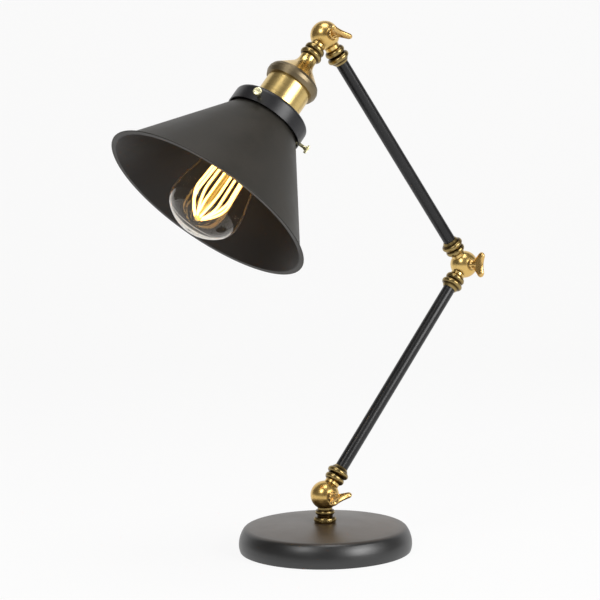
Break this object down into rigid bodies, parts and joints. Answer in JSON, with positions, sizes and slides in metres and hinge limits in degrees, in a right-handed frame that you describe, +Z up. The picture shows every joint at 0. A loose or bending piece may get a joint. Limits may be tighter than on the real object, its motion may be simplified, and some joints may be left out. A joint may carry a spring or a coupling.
{
  "type": "desk lamp",
  "caption": "Desk lamp with two straight tube arms on ball-shaped swivel joints with wing screws, a round weighted base, a brass lampholder, a cone shade and a clear filament bulb.",
  "frame": {"origin": "centre of the base's underside, where the lamp stands on the table", "axes": "+Z up; the arms lie in the XZ plane with the elbow towards +X and the head towards -X; the wing screws face -Y"},
  "size_m": [0.3524, 0.1848, 0.4543],
  "materials": {
    "black_enamel": "satin black enamel",
    "black_tube": "satin black enamel",
    "shade_black": "satin black enamel",
    "gallery_black": "satin black enamel",
    "cast_iron": "as cast",
    "steel": "zinc plated",
    "spring_steel": "bright",
    "nipple_steel": "plated",
    "pad": "matt",
    "grommet": "matt",
    "joint_brass": "polished and lacquered",
    "wing_brass": "cast and polished",
    "thumb_brass": "bright",
    "holder_brass": "polished and lacquered",
    "band_bronze": "satin bronze",
    "flex": "matt sheath",
    "porcelain": "glazed porcelain",
    "contact_brass": "bright",
    "bulb_glass": "clear",
    "mount_glass": "clear",
    "cap_metal": "bright",
    "cap_glass": "black glass",
    "filament": "glowing wire",
    "support_wire": "wire"
  },
  "bodies": {
    "base": {"base_shell": "black_enamel", "base_weight": "cast_iron", "base_plate": "steel", "plate_screws": "steel", "base_pad": "pad", "inlet_grommet": "grommet", "foot_nipple": "nipple_steel", "foot_washer": "steel", "foot_nut": "steel", "foot_joint": "joint_brass", "foot_spring_washer": "spring_steel", "base_flex": "flex"},
    "lower_arm": {"lower_arm_foot_half": "joint_brass", "lower_arm_tube": "black_tube", "lower_arm_elbow_half": "joint_brass", "lower_arm_flex": "flex"},
    "upper_arm": {"upper_arm_elbow_half": "joint_brass", "upper_arm_tube": "black_tube", "upper_arm_head_half": "joint_brass", "upper_arm_flex": "flex", "upper_arm_spring_washers": "spring_steel"},
    "head": {"head_joint": "joint_brass", "head_nipple": "nipple_steel", "holder_neck": "holder_brass", "holder_band": "band_bronze", "holder_body": "holder_brass", "porcelain_block": "porcelain", "threaded_sleeve": "contact_brass", "centre_contact": "contact_brass", "terminal_screws": "contact_brass", "head_flex": "flex", "gallery": "gallery_black", "gallery_ring": "nipple_steel", "shade": "shade_black"},
    "foot_wing_screw": {"foot_wing_screw": "wing_brass"},
    "elbow_wing_screw": {"elbow_wing_screw": "wing_brass"},
    "head_wing_screw": {"head_wing_screw": "wing_brass"},
    "thumb_screw_1": {"thumb_screw_1": "thumb_brass"},
    "thumb_screw_2": {"thumb_screw_2": "thumb_brass"},
    "thumb_screw_3": {"thumb_screw_3": "thumb_brass"},
    "bulb": {"bulb_glass": "bulb_glass", "bulb_cap": "cap_metal", "bulb_insulator": "cap_glass", "bulb_button": "cap_metal", "bulb_mount": "mount_glass", "filament": "filament", "filament_supports": "support_wire"}
  },
  "joints": [
    {"name": "foot_pivot", "type": "hinge", "parent": "base", "child": "lower_arm", "pos_m": [0, 0, 0.0477], "axis": [0, 1, 0], "range_deg": [-65, 46]},
    {"name": "elbow_pivot", "type": "hinge", "parent": "lower_arm", "child": "upper_arm", "pos_m": [0.15699, 0, 0.24226], "axis": [0, -1, 0], "range_deg": [-190, 39]},
    {"name": "head_pivot", "type": "hinge", "parent": "upper_arm", "child": "head", "pos_m": [0.00654, 0, 0.44192], "axis": [0, -1, 0], "range_deg": [-218, 11]},
    {"name": "foot_wing_turn", "type": "hinge", "parent": "base", "child": "foot_wing_screw", "pos_m": [0, 0, 0.0477], "axis": [0, -1, 0], "range_deg": [0, 270]},
    {"name": "elbow_wing_turn", "type": "hinge", "parent": "upper_arm", "child": "elbow_wing_screw", "pos_m": [0.15699, 0, 0.24226], "axis": [0, -1, 0], "range_deg": [0, 270]},
    {"name": "head_wing_turn", "type": "hinge", "parent": "upper_arm", "child": "head_wing_screw", "pos_m": [0.00654, 0, 0.44192], "axis": [0, -1, 0], "range_deg": [0, 270]},
    {"name": "thumb_turn_1", "type": "hinge", "parent": "head", "child": "thumb_screw_1", "pos_m": [-0.05338, 0, 0.36949], "axis": [-0.5902, -0.6428, 0.4883], "range_deg": [0, 270]},
    {"name": "thumb_turn_2", "type": "hinge", "parent": "head", "child": "thumb_screw_2", "pos_m": [-0.05338, 0, 0.36949], "axis": [-0.1338, 0.9848, 0.1107], "range_deg": [0, 270]},
    {"name": "thumb_turn_3", "type": "hinge", "parent": "head", "child": "thumb_screw_3", "pos_m": [-0.05338, 0, 0.36949], "axis": [0.724, -0.342, -0.599], "range_deg": [0, 270]},
    {"name": "bulb_turn", "type": "hinge", "parent": "head", "child": "bulb", "pos_m": [-0.05338, 0, 0.36949], "axis": [-0.6374, 0, -0.7705], "range_deg": [0, 1080]}
  ]
}
